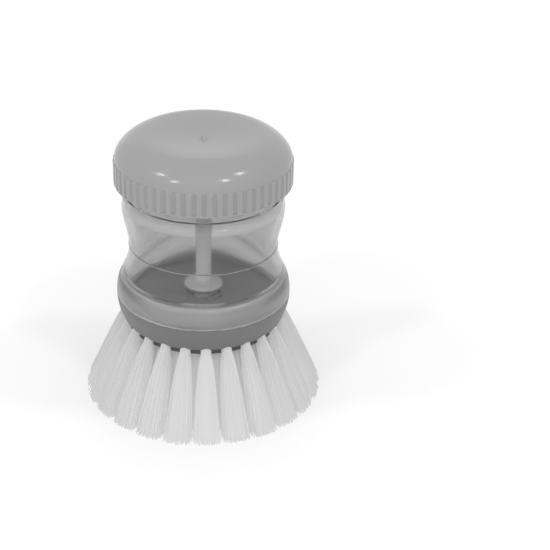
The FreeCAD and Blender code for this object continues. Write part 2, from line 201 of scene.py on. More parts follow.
def greyFrom(tree, value):
    # one value as a grey colour
    grey = addNode(tree, "ShaderNodeCombineColor")
    for channel in ("Red", "Green", "Blue"):
        tree.links.new(value, grey.inputs[channel])
    return grey.outputs[0]


def passShadows(tree, shader, tone):
    # shadow rays pass each face with a tint, every other ray meets the shader
    through = addNode(tree, "ShaderNodeBsdfTransparent")
    through.inputs["Color"].default_value = (tone, tone, tone, 1)
    path = addNode(tree, "ShaderNodeLightPath")
    mix = addNode(tree, "ShaderNodeMixShader")
    tree.links.new(path.outputs["Is Shadow Ray"], mix.inputs[0])
    tree.links.new(shader.outputs[0], mix.inputs[1])
    tree.links.new(through.outputs[0], mix.inputs[2])
    tree.links.new(mix.outputs[0], tree.nodes["Material Output"].inputs["Surface"])


skinLook = {      # noises of the moulded skin: slow cloud in the colour, rubbed gloss, fine grain
    "cloud": {"Scale": 90.0, "Detail": 3.0, "Roughness": 0.5},
    "rub": {"Scale": 260.0, "Detail": 5.0, "Roughness": 0.65},
    "grain": {"Detail": 2.0, "Roughness": 0.6}, "grainHeight": 0.02 * mm}


def makeMouldedSkin(look):
    # slow drift of the colour, uneven gloss and fine grain, as on moulded plastic and rubber:
    # colour = tone (1 + drift (cloud - 1/2)), roughness = roughness + patchiness (rub - 1/2), height = grain
    inputs = ("Tone", "Drift", "Roughness", "Patchiness", "Grain Scale")
    group, given, result = newGroup("mouldedSkin", inputs, ("Colour", "Roughness", "Height"))
    link = group.links.new
    place = addNode(group, "ShaderNodeTexCoord")
    cloud, rub, grain = (setInputs(addNode(group, "ShaderNodeTexNoise"), **look[name])
                         for name in ("cloud", "rub", "grain"))
    for noise in (cloud, rub, grain):
        link(place.outputs["Object"], noise.inputs["Vector"])
    link(given.outputs["Grain Scale"], grain.inputs["Scale"])
    sums = []
    for noise, size in ((cloud, "Drift"), (rub, "Patchiness")):
        centred = addNode(group, "ShaderNodeMath", operation="SUBTRACT")
        centred.inputs[1].default_value = 0.5
        scaled = addNode(group, "ShaderNodeMath", operation="MULTIPLY_ADD")
        link(noise.outputs["Fac"], centred.inputs[0])
        link(centred.outputs[0], scaled.inputs[0])
        link(given.outputs[size], scaled.inputs[1])
        sums.append(scaled)
    strength, gloss = sums
    strength.inputs[2].default_value = 1.0
    link(given.outputs["Roughness"], gloss.inputs[2])
    tinted = addNode(group, "ShaderNodeVectorMath", operation="SCALE")
    link(given.outputs["Tone"], tinted.inputs[0])
    link(strength.outputs[0], tinted.inputs["Scale"])
    link(tinted.outputs[0], result.inputs["Colour"])
    link(gloss.outputs[0], result.inputs["Roughness"])
    link(grain.outputs["Fac"], result.inputs["Height"])
    return group


def makeLevelTone():
    # eases from Low Value at height Low to High Value at height High
    rampSockets = {"Low": "From Min", "High": "From Max", "Low Value": "To Min", "High Value": "To Max"}
    group, given, result = newGroup("levelTone", rampSockets, ("Value", "Colour"))
    link = group.links.new
    place = addNode(group, "ShaderNodeTexCoord")
    axes = addNode(group, "ShaderNodeSeparateXYZ")
    ramp = addNode(group, "ShaderNodeMapRange", interpolation_type="SMOOTHSTEP")
    link(place.outputs["Object"], axes.inputs[0])
    link(axes.outputs["Z"], ramp.inputs["Value"])
    for name, socket in rampSockets.items():
        link(given.outputs[name], ramp.inputs[socket])
    link(ramp.outputs[0], result.inputs["Value"])
    link(greyFrom(group, ramp.outputs[0]), result.inputs["Colour"])
    return group


mouldedSkin = makeMouldedSkin(skinLook)
levelTone = makeLevelTone()


def byLevel(tree, low, high, lowValue, highValue):
    ramp = addNode(tree, "ShaderNodeGroup", node_tree=levelTone)
    return setInputs(ramp, Low=low, High=high, Low_Value=lowValue, High_Value=highValue)


def mouldedFinish(name, look, makeTone=None):
    # a material on the moulded skin; makeTone gives the tone where it changes over the surface
    material, tree, shader = newFinish(name)
    skin = addNode(tree, "ShaderNodeGroup", node_tree=mouldedSkin)
    setInputs(skin, Tone=(look["tone"], look["tone"], look["tone"], 1), Drift=look["drift"],
              Roughness=look["roughness"], Patchiness=look["patchiness"], Grain_Scale=look["grainScale"])
    if makeTone:
        tree.links.new(makeTone(tree, look), skin.inputs["Tone"])
    bump = addNode(tree, "ShaderNodeBump")
    setInputs(bump, Strength=look["grain"], Distance=skinLook["grainHeight"])
    tree.links.new(skin.outputs["Colour"], shader.inputs["Base Color"])
    tree.links.new(skin.outputs["Roughness"], shader.inputs["Roughness"])
    tree.links.new(skin.outputs["Height"], bump.inputs["Height"])
    tree.links.new(bump.outputs["Normal"], shader.inputs["Normal"])
    setInputs(shader, IOR=look["ior"], Metallic=look["metal"])
    return material


# cap shell: ribs between a thin lip and the edge of a leaning dome, thread inside

capLook = {
    "ribCount": 56, "samplesPerRib": 12, "ribDepth": 0.6 * mm, "ribStand": 0.37 * mm,
    "firstRib": math.radians(-86.3), "grooveFrom": 0.16, "grooveTo": 0.60, "ribRows": 6,
    "lipHeight": 0.55 * mm, "lipFade": 0.2 * mm, "lipRun": 0.3 * mm, "lipRows": 8, "edgeRounding": 0.35 * mm,
    "edgeRows": 6, "ribTopFade": 0.5 * mm, "ribTopRun": 0.1 * mm, "ribTopRows": 9, "domeRun": 0.04 * mm,
    "domeRise": 7.45 * mm, "crestRadius": 18.8 * mm, "sidePull": 0.449, "topPull": 0.465, "domeRows": 38,
    # inside, from the press panel's seat down to the mouth
    "seatFall": 0.14 * mm, "windowRadius": 17.3 * mm, "windowFall": 0.6 * mm, "pocketRadius": 21.0 * mm,
    "pocketTop": 88.8 * mm, "roof": 87.8 * mm, "roofRadius": 25.2 * mm, "roofEdge": 0.2 * mm,
    "bore": 26.6 * mm, "boreTop": 84.0 * mm, "boreEdge": 0.4 * mm, "boreRun": 0.8 * mm,
    "threadTop": 83.0 * mm, "threadRows": 46, "chamferRise": 0.5 * mm, "chamferDepth": 0.35 * mm}
capThread = dict(threadForm, turns=1.25, firstAngle=math.radians(120), start=76.733 * mm)
capPlastic = {"tone": 0.333, "drift": 0.05, "roughness": 0.16, "patchiness": 0.06, "grainScale": 3500.0,
              "grain": 0.04, "ior": 1.38, "metal": 0.0}


def makeCap(look, thread):
    # outside: lip, skirt and a cubic dome; ribs add ribStand on their crests and take the rest of their
    # depth off in the grooves, with the lip below and the dome's edge above left whole
    low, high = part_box("screw_cap")
    bottom, crest = low.z, high.z
    base = high.x - look["ribStand"]
    domeLow = crest - look["domeRise"]
    rim = look["crestRadius"]
    edge, fade = look["edgeRounding"], look["lipFade"]
    corner = np.array([base, bottom])
    lip = bend(corner - (edge, 0), corner, corner + (0, edge), look["edgeRows"])
    ribLow, ribHigh = bottom + look["lipHeight"], domeLow - look["ribTopFade"]
    skirt = np.concatenate([
        upright(base, ribLow - fade, ribLow + fade, look["lipRows"]),
        upright(base, ribLow + look["lipRun"], ribHigh - look["ribTopRun"], look["ribRows"]),
        upright(base, ribHigh, domeLow - look["domeRun"], look["ribTopRows"])])
    dome = curve((base, domeLow), (base, domeLow + look["sidePull"] * look["domeRise"]),
                 (rim + look["topPull"] * (base - rim), crest), (rim, crest), look["domeRows"])
    window, pocket, bore = look["windowRadius"], look["pocketRadius"], look["bore"]
    roof, roofEdge, boreTop = look["roof"], look["roofEdge"], look["boreTop"]
    inside = rounded([
        (rim, crest - look["seatFall"], 0), (window, crest - look["windowFall"], 0),
        (window, look["pocketTop"], roofEdge), (pocket, look["pocketTop"], roofEdge),
        (pocket, roof, 0), (look["roofRadius"], roof, roofEdge),
        (bore, boreTop, look["boreEdge"]), (bore, boreTop - look["boreRun"], 0)], False)
    wall = upright(bore, look["threadTop"], bottom + look["chamferRise"], look["threadRows"])
    chamfer = np.array([[bore + look["chamferDepth"], bottom]])
    profile = np.concatenate([lip, skirt, dome, inside, wall, chamfer])
    columns = look["ribCount"] * look["samplesPerRib"]
    angle = fullTurn(columns)
    phase = np.mod((angle - look["firstRib"]) * look["ribCount"] / (2 * np.pi), 1)
    # 1 in a groove, 0 on a rib
    groove = 1 - smooth(look["grooveFrom"], look["grooveTo"], np.abs(2 * phase - 1))
    row = np.arange(len(profile))[:, None]
    outside = row < len(lip) + len(skirt)
    threaded = (row >= len(profile) - 1 - len(wall)) & (row < len(profile) - 1)
    level = profile[:, 1:]
    above = smooth(ribLow - fade, ribLow + fade, level)
    below = np.sqrt(np.clip((domeLow - level) / look["ribTopFade"], 0, 1))
    ribs = look["ribStand"] - look["ribDepth"] * groove * above
    offset = ribs * below * outside - threadRise(angle, level, thread) * threaded
    cap = turned("capShell", profile, columns, offset)
    wear(cap, capFinish)
    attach(cap, "cap")
    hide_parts("screw_cap")


capFinish = mouldedFinish("capPlastic", capPlastic)
makeCap(capLook, capThread)
print("cap shell done")


# press panel: dished skin from crest to middle, with a moulding nub

panelLook = {"rimRadius": capLook["crestRadius"], "dishDepth": 1.45 * mm, "rimThickness": 0.12 * mm,
             "thickness": 1.2 * mm, "thinFrom": 0.80, "padRadius": 3.5 * mm, "padFade": 0.4 * mm,
             "padHeight": 0.2 * mm, "rings": 48, "columns": 144}
nubLook = {"radius": 1.3 * mm, "height": 1.2 * mm, "skirt": 1.1 * mm, "steepness": 1.6, "sunk": 0.02 * mm,
           "footFall": 0.1 * mm, "rings": 28, "columns": 48}


def makePanel(look, nub):
    # top: middle + depth s (2 - s) with s = (r / rim)^2, level at the middle and at the rim;
    # the underside keeps its thickness up to thinFrom, thins out to the rim and has a pad for the rod's head
    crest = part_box("screw_cap")[1].z
    middle = crest - look["dishDepth"]
    rim, thin = look["rimRadius"], look["rimThickness"]
    r = np.linspace(0, rim, look["rings"])
    share = (r / rim) ** 2
    top = middle + look["dishDepth"] * share * (2 - share)
    under = top - thin - (look["thickness"] - thin) * (1 - smooth(look["thinFrom"] * rim, rim, r))
    under -= look["padHeight"] * (1 - smooth(look["padRadius"], look["padRadius"] + look["padFade"], r))
    profile = np.concatenate([np.stack([r, under], -1), np.stack([r, top], -1)[::-1]])
    panel = turned("pressSkin", profile, look["columns"])
    wear(panel, capFinish)
    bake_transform(panel)
    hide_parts("press_panel")
    # nub: a round top, height exp(-steepness (r / radius)^2), whose foot runs out in a soft fillet
    reach = nub["radius"] + nub["skirt"]
    r = np.linspace(0, reach, nub["rings"])
    level = middle - nub["sunk"] + nub["height"] * np.exp(-(r / nub["radius"]) ** 2 * nub["steepness"])
    foot = np.array([[0, middle - nub["footFall"]], [reach, middle - nub["footFall"]]])
    stud = turned("mouldNub", np.concatenate([foot, np.stack([r, level], -1)[::-1]]), nub["columns"])
    wear(stud, capFinish)
    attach(stud, "panel")


makePanel(panelLook, nubLook)
print("press panel done")


# reservoir: clear smoky wall, thick at the foot, with the core's parting line at the waist

reservoirLook = {
    "wall": 2.2 * mm, "waistRadius": 24.12 * mm, "waistRise": 17.8 * mm, "footShare": 0.42,
    "waistShare": 0.5, "bulgeRadius": 26.2 * mm, "bulgeRise": 31.0 * mm, "bulgeShare": 0.35,
    "shoulderRadius": 25.7 * mm, "shoulderRise": 36.2 * mm, "crownLow": 0.23, "crownHigh": 0.57,
    "crownIn": 0.33, "neckRadius": 24.9 * mm, "bore": 22.0 * mm, "ledgeRise": 7.6 * mm,
    "ledgeFall": 1.4 * mm, "counterbore": 26.3 * mm, "jointGap": 0.06 * mm, "partingRise": 0.12 * mm,
    "partingHalf": 0.20 * mm,
    # rounding of the edges, short plain runs beside edges and curves, and rows of the long stretches
    "edges": {"foot": 0.25 * mm, "shoulder": 0.2 * mm, "neck": 0.25 * mm, "rim": 0.3 * mm,
              "socket": 0.3 * mm},
    "runs": {"foot": 0.5 * mm, "bowl": 0.4 * mm, "waist": 0.3 * mm, "parting": 0.2 * mm,
             "shoulder": 0.3 * mm, "neck": 0.5 * mm, "threadLow": 0.6 * mm, "threadHigh": 0.5 * mm,
             "rim": 0.4 * mm, "mouth": 1.0 * mm, "boreTop": 2.0 * mm, "boreLow": 0.5 * mm,
             "socket": 1.0 * mm, "skirtTop": 1.5 * mm, "skirtLow": 0.5 * mm},
    "rows": {"bowl": 40, "parting": 9, "taper": 28, "crown": 14, "neck": 60, "bore": 8, "crownIn": 16,
             "taperIn": 24, "skirt": 4}, "columns": 180}
neckThread = dict(threadForm, turns=1.375, firstAngle=0.0, start=77.4 * mm)
clearPlastic = {"tone": 0.78, "gloss": 0.10, "footTone": 0.95, "frost": 0.32, "frostFrom": 43.6 * mm,
                "frostTo": 42.9 * mm, "lipShadeTone": 0.62, "lipShadeFrom": 69.6 * mm, "lipShadeTo": 71.8 * mm,
                "ior": 1.49, "shadowTone": 0.98, "density": 75.0}


def makeClearFinish(look):
    # glass whose shadow is only a tint; long ways through it darken, the foot is paler and frosted,
    # and the wall is greyer towards the cap's lip, as painted shade under the lip
    material, tree, shader = newFinish("smokyClear")
    setInputs(shader, IOR=look["ior"], Transmission_Weight=1.0)
    frost = byLevel(tree, look["frostTo"], look["frostFrom"], look["frost"], look["gloss"])
    foot = byLevel(tree, look["frostTo"], look["frostFrom"], look["footTone"], look["tone"])
    # painted shade: the wall darkens towards the cap's lip, where the cap shades it
    lip = byLevel(tree, look["lipShadeFrom"], look["lipShadeTo"], look["tone"], look["lipShadeTone"])
    tree.links.new(foot.outputs["Value"], lip.inputs["Low Value"])
    tree.links.new(lip.outputs["Colour"], shader.inputs["Base Color"])
    tree.links.new(frost.outputs["Value"], shader.inputs["Roughness"])
    passShadows(tree, shader, look["shadowTone"])
    smoke = addNode(tree, "ShaderNodeVolumeAbsorption")
    setInputs(smoke, Color=(0, 0, 0, 1), Density=look["density"])
    tree.links.new(smoke.outputs[0], tree.nodes["Material Output"].inputs["Volume"])
    return material


def makeReservoir(look, thread):
    # one closed profile: up the outside from foot to thread, over the rim and down the inside to the socket
    low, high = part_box("reservoir_body")
    foot, joint, rim = high.x, low.z, high.z
    waist, bulge, shoulder = (joint + look[name] for name in ("waistRise", "bulgeRise", "shoulderRise"))
    bottom, ledge = joint + look["jointGap"], joint + look["ledgeRise"]
    flare, taper, crown = waist - joint, bulge - waist, shoulder - bulge
    neck, bore, counterbore, wall = look["neckRadius"], look["bore"], look["counterbore"], look["wall"]
    slim, wide, brow = look["waistRadius"], look["bulgeRadius"], look["shoulderRadius"]
    share, edges, runs, rows = look["bulgeShare"], look["edges"], look["runs"], look["rows"]
    bowl = curve((foot, bottom + runs["bowl"]), (foot, joint + look["footShare"] * flare),
                 (slim, waist - look["waistShare"] * flare), (slim, waist - runs["waist"]), rows["bowl"])
    outer = np.concatenate([
        rounded([(counterbore, bottom, 0), (foot, bottom, edges["foot"]),
                 (foot, bottom + runs["foot"], 0)], False)[:-1],
        bowl,
        upright(slim, waist - runs["parting"], waist + runs["parting"], rows["parting"]),
        curve((slim, waist + runs["waist"]), (slim, waist + share * taper), (wide, bulge - share * taper),
              (wide, bulge), rows["taper"]),
        curve((wide, bulge), (wide, bulge + look["crownLow"] * crown),
              (brow + look["crownIn"] * (wide - brow), bulge + look["crownHigh"] * crown),
              (brow, shoulder - runs["shoulder"]), rows["crown"])[1:]])
    collar = rounded([(brow, shoulder - runs["shoulder"], 0), (brow, shoulder, edges["shoulder"]),
                      (neck, shoulder, edges["neck"]), (neck, shoulder + runs["neck"], 0)], False)[1:]
    threadWall = upright(neck, shoulder + runs["threadLow"], rim - runs["threadHigh"], rows["neck"])
    mouth = rounded([(neck, rim - runs["rim"], 0), (neck, rim, edges["rim"]), (bore, rim, edges["rim"]),
                     (bore, rim - runs["mouth"], 0)], False)
    slimIn, wideIn = slim - wall, wide - wall
    tube = np.concatenate([
        upright(bore, rim - runs["boreTop"], shoulder + runs["boreLow"], rows["bore"]),
        curve((bore, shoulder), (bore, shoulder - share * crown), (wideIn, bulge + share * crown),
              (wideIn, bulge), rows["crownIn"]),
        curve((wideIn, bulge), (wideIn, bulge - share * taper), (slimIn, waist + share * taper),
              (slimIn, waist), rows["taperIn"])[1:]])
    slope = np.gradient(bowl, axis=0)
    normal = np.stack([slope[:, 1], -slope[:, 0]], -1) / np.linalg.norm(slope, axis=1, keepdims=True)
    bell = (bowl - wall * normal)[::-1]          # the bowl's outside moved in by the wall
    bell = bell[bell[:, 1] > ledge]
    under = ledge - look["ledgeFall"]
    socket = rounded([(bell[-1, 0], ledge, 0), (counterbore, under, edges["socket"]),
                      (counterbore, under - runs["socket"], 0)], False)
    skirt = upright(counterbore, under - runs["skirtTop"], bottom + runs["skirtLow"], rows["skirt"])
    profile = np.concatenate([outer, collar, threadWall, mouth, tube, bell, socket, skirt])
    row = np.arange(len(profile))[:, None]
    start = len(outer) + len(collar)
    threaded = (row >= start) & (row < start + len(threadWall))
    level = profile[:, 1:]
    ridge = 1 - smooth(0, look["partingHalf"], np.abs(level - waist))
    offset = threadRise(fullTurn(look["columns"]), level, thread) * threaded
    offset = offset + look["partingRise"] * ridge * (row < len(outer))
    body = turned("clearReservoir", profile, look["columns"], offset)
    wear(body, makeClearFinish(clearPlastic))
    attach(body, "base")
    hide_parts("reservoir_body")


makeReservoir(reservoirLook, neckThread)
print("reservoir done")


# push rod, its head and its soft plug

rodLook = {
    "tipRadius": 1.2 * mm, "barbRadius": 2.0 * mm, "barbTop": 25.65 * mm, "neckRadius": 1.45 * mm,
    "stemRadius": 3.0 * mm, "stemLow": 28.95 * mm, "stemTop": 33.95 * mm, "shaftRadius": 2.5 * mm,
    "flangeRadius": 6.2 * mm, "flangeLow": 38.2 * mm, "flangeTop": 39.1 * mm, "shaftTop": 86.3 * mm,
    "tenonRadius": 1.7 * mm, "fine": 0.1 * mm, "soft": 0.2 * mm, "stemEdge": 0.12 * mm,
    "shaftEdge": 0.15 * mm, "flangeEdge": 0.22 * mm, "flangeFillet": 0.35 * mm, "columns": 96,
    "flutes": {"count": 4, "radius": 1.0 * mm, "from": 2.7 * mm}}
headLook = {"socketRadius": 1.75 * mm, "socketTop": 87.35 * mm, "radius": 8.0 * mm, "socketEdge": 0.1 * mm,
            "underEdge": 0.3 * mm, "topEdge": 0.4 * mm, "columns": 72}
plugLook = {"bore": 1.5 * mm, "noseRadius": 2.6 * mm, "radius": 4.3 * mm, "coneTop": 27.65 * mm,
            "boreEdge": 0.1 * mm, "noseEdge": 0.3 * mm, "coneEdge": 0.25 * mm, "topEdge": 0.2 * mm,
            "columns": 64}
rodPlastic = {"tone": 0.92, "drift": 0.04, "roughness": 0.38, "patchiness": 0.10, "grainScale": 3000.0,
              "grain": 0.10, "ior": 1.5, "metal": 0.0, "flangeTone": 0.70, "flangeGreyFrom": 39.2 * mm,
              "flangeGreyTo": 42.0 * mm}
plugRubber = {"tone": 0.06, "drift": 0.10, "roughness": 0.6, "patchiness": 0.15, "grainScale": 2200.0,
              "grain": 0.2, "ior": 1.42, "metal": 0.0}


def rodTone(tree, look):
    # greyer on the flange and below it
    level = byLevel(tree, look["flangeGreyFrom"], look["flangeGreyTo"], look["flangeTone"], look["tone"])
    return level.outputs["Colour"]


def makeRod(look):
    # turned shaft with a flange, a fluted stem below it and a barb; a flute of radius R takes
    # sqrt(R^2 - x^2) off the stem at the sideways distance x from the flute's middle
    low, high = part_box("plunger_rod")
    fine, soft = look["fine"], look["soft"]
    neck, stem, shaft = look["neckRadius"], look["stemRadius"], look["shaftRadius"]
    flange, tenon = look["flangeRadius"], look["tenonRadius"]
    barbTop, stemLow, stemTop = look["barbTop"], look["stemLow"], look["stemTop"]
    flangeLow, flangeTop, shaftTop = look["flangeLow"], look["flangeTop"], look["shaftTop"]
    profile = rounded([
        (0, low.z, 0), (look["tipRadius"], low.z, soft), (look["barbRadius"], barbTop, fine),
        (neck, barbTop, fine), (neck, stemLow, fine), (stem, stemLow, look["stemEdge"]),
        (stem, stemTop, soft), (shaft, stemTop, look["shaftEdge"]), (shaft, flangeLow, soft),
        (flange, flangeLow, look["flangeEdge"]), (flange, flangeTop, look["flangeEdge"]),
        (shaft, flangeTop, look["flangeFillet"]), (shaft, shaftTop, look["shaftEdge"]),
        (tenon, shaftTop, fine), (tenon, high.z, soft), (0, high.z, 0)], False)
    flutes = look["flutes"]
    share = 2 * np.pi / flutes["count"]
    side = stem * np.sin(np.mod(fullTurn(look["columns"]), share) - share / 2)
    cut = np.sqrt(np.clip(flutes["radius"] ** 2 - side ** 2, 0, None))
    radius, level = profile[:, :1], profile[:, 1:]
    onStem = (level > stemLow) & (level < stemTop) & (radius > flutes["from"])
    return turned("pushRod", profile, look["columns"], -cut * onStem)


def makeHead(look):
    low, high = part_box("plunger_head")
    return turned("rodHead", rounded([
        (0, look["socketTop"], 0), (look["socketRadius"], look["socketTop"], 0),
        (look["socketRadius"], low.z, look["socketEdge"]), (look["radius"], low.z, look["underEdge"]),
        (look["radius"], high.z, look["topEdge"]), (0, high.z, 0)], False), look["columns"])


def makePlug(look):
    low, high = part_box("valve_plug")
    return turned("outletPlug", rounded([
        (look["bore"], low.z, look["boreEdge"]), (look["noseRadius"], low.z, look["noseEdge"]),
        (look["radius"], look["coneTop"], look["coneEdge"]), (look["radius"], high.z, look["topEdge"]),
        (look["bore"], high.z, look["boreEdge"])], True), look["columns"])


def makePlunger():
    rod, head, plug = makeRod(rodLook), makeHead(headLook), makePlug(plugLook)
    rodFinish = mouldedFinish("rodPlastic", rodPlastic, rodTone)
    for piece, node in ((rod, "plunger_rod"), (head, "plunger_head")):
        wear(piece, rodFinish)
        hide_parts(node)
    wear(plug, mouldedFinish("plugRubber", plugRubber))
    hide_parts("valve_plug")
    for piece in (rod, head, plug):
        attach(piece, "plunger")


makePlunger()
print("plunger done")


# return spring: round wire on a helix

springLook = {"meanRadius": 4.1 * mm, "wireRadius": 0.35 * mm, "turns": 3.5, "stepsPerTurn": 40, "sides": 12,
              "sharpAngle": 50}
# steel, toned down so that the spring merges with the shade under the flange: partly the steel's colour,
# partly painted shade
springSteel = {"tone": 0.35, "drift": 0.05, "roughness": 0.28, "patchiness": 0.12, "grainScale": 4000.0,
               "grain": 0.08, "ior": 1.5, "metal": 1.0}


def makeSpring(look):
    # tube: centre (R cos a, R sin a, z) with a circle across the wire, whose ends are closed by flat discs
    low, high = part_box("return_spring")
    steps = round(look["turns"] * look["stepsPerTurn"]) + 1
    sides, wire = look["sides"], look["wireRadius"]
    angle = np.linspace(0, 2 * np.pi * look["turns"], steps)[:, None]
    level = np.linspace(low.z + wire, high.z - wire, steps)[:, None]
    around = fullTurn(sides)
    radius = look["meanRadius"] - wire * np.cos(around)
    points = np.stack([radius * np.cos(angle), radius * np.sin(angle), level + wire * np.sin(around)], -1)
    first = np.arange(sides)[None, ::-1]
    last = (steps - 1) * sides + np.arange(sides)[None, :]
    faces = [gridQuads(steps, sides, False), first, last]
    spring = putMesh("returnSpring", points.reshape(-1, 3), faces, look["sharpAngle"])
    wear(spring, mouldedFinish("springSteel", springSteel))
    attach(spring, "base")
    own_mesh(spring)
    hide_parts("return_spring")


makeSpring(springLook)
print("spring done")


# soft rings: lipped seal in the foot, flat gasket under the cap

sealLook = {"innerRadius": 24.65 * mm, "outerRadius": 25.9 * mm, "lipRadius": 26.24 * mm,
            "lipHalf": 0.4 * mm, "lipLevels": (37.3 * mm, 41.2 * mm), "bevelRadius": 25.2 * mm,
            "bevelLevel": 41.8 * mm, "gap": 0.03 * mm, "footEdge": 0.15 * mm, "lipEdge": 0.1 * mm,
            "topEdge": 0.2 * mm, "columns": 144}
gasketLook = {"innerRadius": 21.0 * mm, "outerRadius": 24.9 * mm, "gap": 0.02 * mm, "edge": 0.15 * mm,
              "columns": 128}
ringSilicone = {"tone": 0.95, "drift": 0.04, "roughness": 0.16, "patchiness": 0.06, "grainScale": 2400.0,
                "grain": 0.06, "ior": 1.25, "metal": 0.0, "clearness": 0.82, "shadowTone": 0.95}


def makeSeal(look):
    # square ring with two sharp lips outside and a bevel above them
    low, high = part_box("base_seal")
    bottom, outer, edge = low.z + look["gap"], look["outerRadius"], look["lipEdge"]
    corners = [(look["innerRadius"], bottom, look["footEdge"]), (outer, bottom, look["footEdge"])]
    for level in look["lipLevels"]:
        corners += [(outer, level - look["lipHalf"], edge), (look["lipRadius"], level, edge),
                    (outer, level + look["lipHalf"], edge)]
    corners += [(outer, look["bevelLevel"], 0), (look["bevelRadius"], high.z, look["topEdge"]),
                (look["innerRadius"], high.z, look["topEdge"])]
    return turned("footSeal", rounded(corners, True), look["columns"])


def makeGasket(look):
    low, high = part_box("cap_gasket")
    bottom, top = low.z + look["gap"], high.z - look["gap"]
    inner, outer, edge = look["innerRadius"], look["outerRadius"], look["edge"]
    corners = [(inner, bottom, edge), (outer, bottom, edge), (outer, top, edge), (inner, top, edge)]
    return turned("capGasket", rounded(corners, True), look["columns"])


def makeRings():
    silicone = mouldedFinish("paleSilicone", ringSilicone)
    shader = silicone.node_tree.nodes["Principled BSDF"]
    setInputs(shader, Transmission_Weight=ringSilicone["clearness"])    # milky: part of the light passes
    passShadows(silicone.node_tree, shader, ringSilicone["shadowTone"])
    seal, gasket = makeSeal(sealLook), makeGasket(gasketLook)
    for piece, node, body in ((seal, "base_seal", "base"), (gasket, "cap_gasket", "gasket")):
        wear(piece, silicone)
        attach(piece, body)
        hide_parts(node)


makeRings()
print("rings done")


# brush block and staples keep their solids

# the tuft plate's tone is painted shade under the block's edge, the soap chamber floor's tone painted light
# inside the reservoir
blockPlastic = {"tone": 0.158, "drift": 0.06, "roughness": 0.45, "patchiness": 0.14, "grainScale": 2600.0,
                "grain": 0.2, "ior": 1.5, "metal": 0.0, "plateShadeTone": 0.05, "plateTop": 27.95 * mm,
                "plateFade": 0.05 * mm, "floorTone": 0.24, "floorRadius": 24.6 * mm, "floorFade": 0.3 * mm}
stapleSteel = {"tone": 0.55, "drift": 0.05, "roughness": 0.35, "patchiness": 0.1, "grainScale": 4000.0,
               "grain": 0.05, "ior": 1.5, "metal": 1.0}


def blockTone(tree, look):
    # darker below plateTop, on the plate that holds the tufts, as painted shade under the block's edge, and
    # paler
    #     # within floorRadius, on the soap chamber's floor, as painted light inside the reservoir
    place = addNode(tree, "ShaderNodeTexCoord")
    flat = addNode(tree, "ShaderNodeVectorMath", operation="MULTIPLY")
    flat.inputs[1].default_value = (1, 1, 0)
    radius = addNode(tree, "ShaderNodeVectorMath", operation="LENGTH")
    # painted light: the soap chamber's floor is paler than the block, standing in for light that the walls
    # keep out
    floor = addNode(tree, "ShaderNodeMapRange")
    setInputs(floor, From_Min=look["floorRadius"] - look["floorFade"], From_Max=look["floorRadius"],
              To_Min=look["floorTone"], To_Max=look["tone"])
    top = look["plateTop"]
    # painted shade: the tuft plate below the block's edge is near black
    level = byLevel(tree, top - look["plateFade"], top, look["plateShadeTone"], look["tone"])
    tree.links.new(place.outputs["Object"], flat.inputs[0])
    tree.links.new(flat.outputs[0], radius.inputs[0])
    tree.links.new(radius.outputs["Value"], floor.inputs["Value"])
    tree.links.new(floor.outputs[0], level.inputs["High Value"])
    return level.outputs["Colour"]


wear(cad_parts["brush_block"], mouldedFinish("darkBlock", blockPlastic, blockTone))
wear(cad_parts["tuft_anchors"], mouldedFinish("stapleSteel", stapleSteel))
print("block done")


# tufts: filaments as thin tubes from their hole to a ragged tip, dense over a core that closes the bundle

tuftLook = {
    "filaments": 150, "sides": 4, "stations": (-0.15, 0.0, 0.06, 0.22, 0.48, 0.74, 1.0),
    "filamentRadius": 0.17 * mm, "crowding": 0.38, "tipTaper": 0.95, "rootRadius": 1.60 * mm,
    "straight": 0.01, "spreadPower": 0.6, "tipHalfDepth": 2.9 * mm, "tipSquare": 5.0, "tipJitter": 0.035,
    "ragged": 0.22 * mm, "uneven": 0.35 * mm, "bow": 0.10 * mm, "firstAngle": math.radians(-88.3),
    "floorGap": 0.01 * mm, "sharpAngle": 60, "coreSides": 20, "coreShare": 0.5,
    "coreStations": (-0.10, 0.01, 0.08, 0.25, 0.45, 0.65, 0.82, 0.955), "coreSizes": (0.86,) * 7 + (0.80,)}
# filaments darken towards their root, deepest on the middle and inner rows: painted shade where the tufts
# shade each other
tuftRows = {      # the middle row stands in the gaps of the outer one
    "outer": {"count": 24, "root": 25.7 * mm, "tip": 36.6 * mm, "tipHalfWidth": 4.35 * mm, "step": 0.0,
              "seed": 11, "shadedRootTone": 0.65},
    "middle": {"count": 24, "root": 20.9 * mm, "tip": 27.6 * mm, "tipHalfWidth": 3.1 * mm, "step": 0.5,
               "seed": 12, "shadedRootTone": 0.50},
    "inner": {"count": 12, "root": 13.6 * mm, "tip": 17.0 * mm, "tipHalfWidth": 3.65 * mm, "step": 0.0,
              "seed": 13, "shadedRootTone": 0.50}}
bristleNylon = {"tipTone": 0.69, "vary": 0.06, "roughness": 0.5, "ior": 1.53, "shadowTone": 0.62}


